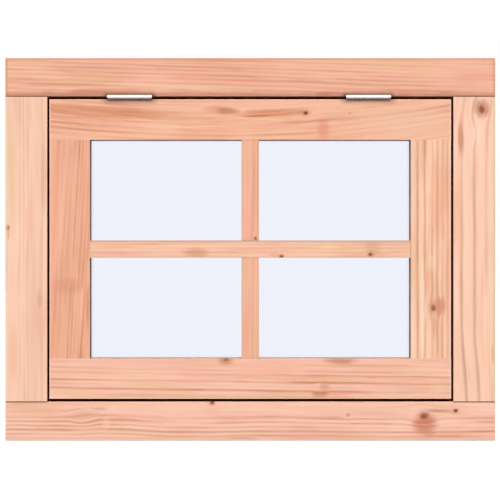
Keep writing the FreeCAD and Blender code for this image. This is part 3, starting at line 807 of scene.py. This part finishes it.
# %% Float glass
def float_glass():
    """Clear glass that lets the lamps' light through as a film would."""
    material, tree = new_material("clear_float_glass")
    tint = linear("#eef1fb")
    body = {"Base Color": tint, "Roughness": 0.0, "IOR": 1.52, "Transmission Weight": 1.0}
    glass = add(tree, "BsdfPrincipled", body)
    clear = add(tree, "BsdfTransparent", {"Color": tint})
    shadow = add(tree, "LightPath").outputs["Is Shadow Ray"]
    add(tree, "OutputMaterial", {"Surface": add(tree, "MixShader", {0: shadow, 1: glass, 2: clear})})
    return material


panes = [piece for name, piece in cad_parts.items() if name.startswith("glass_")]
paint(float_glass(), *panes)
print("panes:", len(panes))

# %% [markdown]
# Between glass and wood lies a strip of black foam tape, which seals the pane. Only its edge shows.
# Foam is matt and slightly uneven, so noise with half-millimetre cells changes its grey a little.

# %% Glazing tape
FOAM_CELL = 0.5 * MM


def foam_tape():
    """Matt black foam with uneven cells."""
    material, tree = new_material("black_foam_tape")
    place = add(tree, "TexCoord").outputs["Object"]
    cells = add(tree, "TexNoise", {"Vector": place, "Scale": 1 / FOAM_CELL, "Detail": 2.0})
    tone = tinted(tree, linear("#191614"), cells, "#2c2724")
    surface = add(tree, "BsdfPrincipled", {"Base Color": tone, "Roughness": 0.9})
    add(tree, "OutputMaterial", {"Surface": surface})
    return material


tapes = [piece for name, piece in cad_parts.items() if name.startswith("glazing_tape")]
paint(foam_tape(), *tapes)
print("tapes:", len(tapes))

# %% [markdown]
# Hinges and stay are steel with a bright zinc coat. Zinc plating is a soft mirror with a faint cloudy
# bloom, and no colour of its own, so it takes on the white of the room. The underside of the hinge barrels
# is painted darker, as painted shade.

# %% Zinc plated steel
BLOOM_SIZE = 6 * MM
ROUGHNESS_PLAY = 0.08
UNDERSIDE_SHADE_FADE = 0.8 * MM
UNDERSIDE_SHADE_STRENGTH = 0.75


def zinc_plate(name, tone, roughness, shaded_below=None):
    """Clouded zinc, with painted shade below the given height if there is one."""
    material, tree = new_material(name)
    place = add(tree, "TexCoord").outputs["Object"]
    bloom = add(tree, "TexNoise", {"Vector": place, "Scale": 1 / BLOOM_SIZE, "Detail": 3.0})
    smoothest, roughest = roughness - ROUGHNESS_PLAY, roughness + ROUGHNESS_PLAY
    rough = add(tree, "MapRange", {"Value": bloom, "To Min": smoothest, "To Max": roughest})
    colour = tinted(tree, linear(tone), share(tree, bloom, 0.4), "#f4f5f7")
    if shaded_below is not None:
        height = add(tree, "SeparateXYZ", {0: place}).outputs["Z"]
        # Painted shade on the underside of the barrels, below the given height
        film = ramp_over(tree, height, shaded_below - UNDERSIDE_SHADE_FADE, shaded_below, UNDERSIDE_SHADE_STRENGTH, 0.0)
        colour = tinted(tree, colour, film, "#5c504c")
    surface = add(tree, "BsdfPrincipled", {"Base Color": colour, "Roughness": rough, "Metallic": 1.0})
    add(tree, "OutputMaterial", {"Surface": surface})
    return material


hinges = [piece for name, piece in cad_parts.items() if name.startswith("hinge_")]
stays = [piece for name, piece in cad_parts.items() if name.startswith("stay_")]
pin_low, pin_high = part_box("hinge_left_pin")
barrel_z = (pin_low.z + pin_high.z) / 2
# The zinc below this height is painted shade
shade_below_axis = 2.5 * MM
hinge_zinc = zinc_plate("bright_zinc_plate", "#e4e2e1", 0.5, barrel_z - shade_below_axis)
stay_zinc = zinc_plate("galvanised_steel", "#8d9094", 0.42)
paint(hinge_zinc, *hinges)
paint(stay_zinc, *stays)
print("hinge pieces:", len(hinges), "stay pieces:", len(stays))

# %% [markdown]
# The stay is held by small pan-head screws with a cross recess. A head is turned from a disc: two insets
# raise its crown, and a cross-shaped cutter is sunk into it with a Boolean. A bump map could fake the
# recess, but from close by the shape would be missing. The screw is modelled once, standing on the origin,
# and then copied to its places.

# %% Cross-recess screw
def select_faces(piece, chosen):
    """In edit mode, selects just the faces that are chosen by their normal."""
    bpy.ops.object.mode_set(mode="EDIT")
    bpy.ops.mesh.select_mode(type="FACE")
    bpy.ops.mesh.select_all(action="DESELECT")
    bpy.ops.object.mode_set(mode="OBJECT")
    for face in piece.data.polygons:
        face.select = chosen(face.normal)
    bpy.ops.object.mode_set(mode="EDIT")


def crowned_disc(name, radius, height, crown, sides):
    """A disc that stands on the origin, with a crown raised in two insets."""
    bpy.ops.object.select_all(action="DESELECT")
    bpy.ops.mesh.primitive_cylinder_add(
        vertices=sides, radius=radius, depth=height, location=(0, 0, height / 2)
    )
    disc = bpy.context.object
    disc.name = name
    bpy.ops.object.transform_apply(location=True, rotation=True, scale=True)
    select_faces(disc, lambda normal: normal.z > 0.9)
    bpy.ops.mesh.inset(thickness=radius * 0.18, depth=crown * 0.65)
    bpy.ops.mesh.inset(thickness=radius * 0.3, depth=crown * 0.35)
    bpy.ops.object.mode_set(mode="OBJECT")
    return disc


def cross_cutter(arm, width, bottom, top):
    """A plus-shaped bar: a square post with its four sides extruded."""
    bpy.ops.object.select_all(action="DESELECT")
    middle = (0, 0, (bottom + top) / 2)
    bpy.ops.mesh.primitive_cube_add(size=1, location=middle, scale=(width, width, top - bottom))
    cutter = bpy.context.object
    bpy.ops.object.transform_apply(location=True, rotation=True, scale=True)
    select_faces(cutter, lambda normal: abs(normal.z) < 0.1)
    bpy.ops.mesh.extrude_faces_move(TRANSFORM_OT_shrink_fatten={"value": arm - width / 2})
    bpy.ops.object.mode_set(mode="OBJECT")
    return cutter


screw = crowned_disc("screw", radius=3.4 * MM, height=1.1 * MM, crown=0.6 * MM, sides=32)
cutter = cross_cutter(arm=2.0 * MM, width=0.8 * MM, bottom=0.6 * MM, top=3 * MM)
recess = screw.modifiers.new("cross_recess", "BOOLEAN")
recess.object = cutter
recess.operation = "DIFFERENCE"
recess.solver = "EXACT"
bpy.context.view_layer.objects.active = screw
bpy.ops.object.modifier_apply(modifier="cross_recess")
bpy.data.objects.remove(cutter)
bpy.ops.object.select_all(action="DESELECT")
screw.select_set(True)
bpy.ops.object.shade_smooth_by_angle(angle=math.radians(35))
print("screw faces:", len(screw.data.polygons))

# %% [markdown]
# Four screws hold the bracket on the sash, and two hold each peg plate on the sill. Their places follow
# from the plates. The heads on the bracket turn to face the room, and those on the peg plates face up. No
# two screws stop at the same angle, so each head is turned a little further than the one before.

# %% Screws of the stay
def copy_to(piece, name, matrix):
    """A copy with its own mesh, moved by the matrix."""
    twin = piece.copy()
    twin.data = piece.data.copy()
    twin.name = name
    twin.data.transform(matrix)
    bpy.context.scene.collection.objects.link(twin)
    return twin


plate_thickness = 2.5 * MM
bracket_half_pitch = 13 * MM
bracket_rows = (12 * MM, 27 * MM)
peg_half_pitch = 19 * MM
head_turn = 0.7
facing_room = Matrix.Rotation(math.radians(-90), 4, "X")
plate_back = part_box("sash_bottom_rail")[1].y + plate_thickness
pivot_x = (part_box("stay_bracket")[0].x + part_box("stay_bracket")[1].x) / 2
bar_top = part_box("stay_bar")[1].z
screw_places = [
    Matrix.Translation((pivot_x + side * bracket_half_pitch, plate_back, bar_top + height)) @ facing_room
    for side in (-1, 1)
    for height in bracket_rows
]
for node in ("stay_peg_left", "stay_peg_right"):
    low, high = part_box(node)
    middle = (low + high) / 2
    for side in (-1, 1):
        seat = (middle.x + side * peg_half_pitch, middle.y, low.z + plate_thickness)
        screw_places.append(Matrix.Translation(seat))
paint(stay_zinc, screw)
for number, place in enumerate(screw_places, 1):
    turned = place @ Matrix.Rotation(number * head_turn, 4, "Z")
    fitted = copy_to(screw, "stay_screw_" + str(number), turned)
    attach(fitted, "root")
bpy.data.objects.remove(screw)
print("stay screws:", len(screw_places))

# %% [markdown]
# The beads are pinned, not glued, so that a broken pane can be changed. Three thin pins with small domed
# heads go through each bead into the wood. They are alike and never move against each other, so all of
# them are joined into one piece.

# %% Glazing pins
pin = crowned_disc("pin", radius=1.1 * MM, height=0.25 * MM, crown=0.3 * MM, sides=12)
paint(stay_zinc, pin)
from_wall = 1.8 * MM
shares_along = (0.12, 0.5, 0.88)
pin_heads = []
for node in lying_beads + standing_beads:
    low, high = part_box(node)
    for along in shares_along:
        spot = low.lerp(high, along)
        if node.endswith(("_left", "_right")):
            spot.x = low.x + from_wall if node.endswith("_left") else high.x - from_wall
        else:
            spot.z = low.z + from_wall if node.endswith("_bottom") else high.z - from_wall
        spot.y = high.y
        pin_heads.append(copy_to(pin, "pin_head", Matrix.Translation(spot) @ facing_room))
bpy.data.objects.remove(pin)
bpy.ops.object.select_all(action="DESELECT")
for head in pin_heads:
    head.select_set(True)
glazing_pins = pin_heads[0]
bpy.context.view_layer.objects.active = glazing_pins
bpy.ops.object.join()
glazing_pins.name = "glazing_pins"
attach(glazing_pins, "root")
print("pin heads:", len(pin_heads))
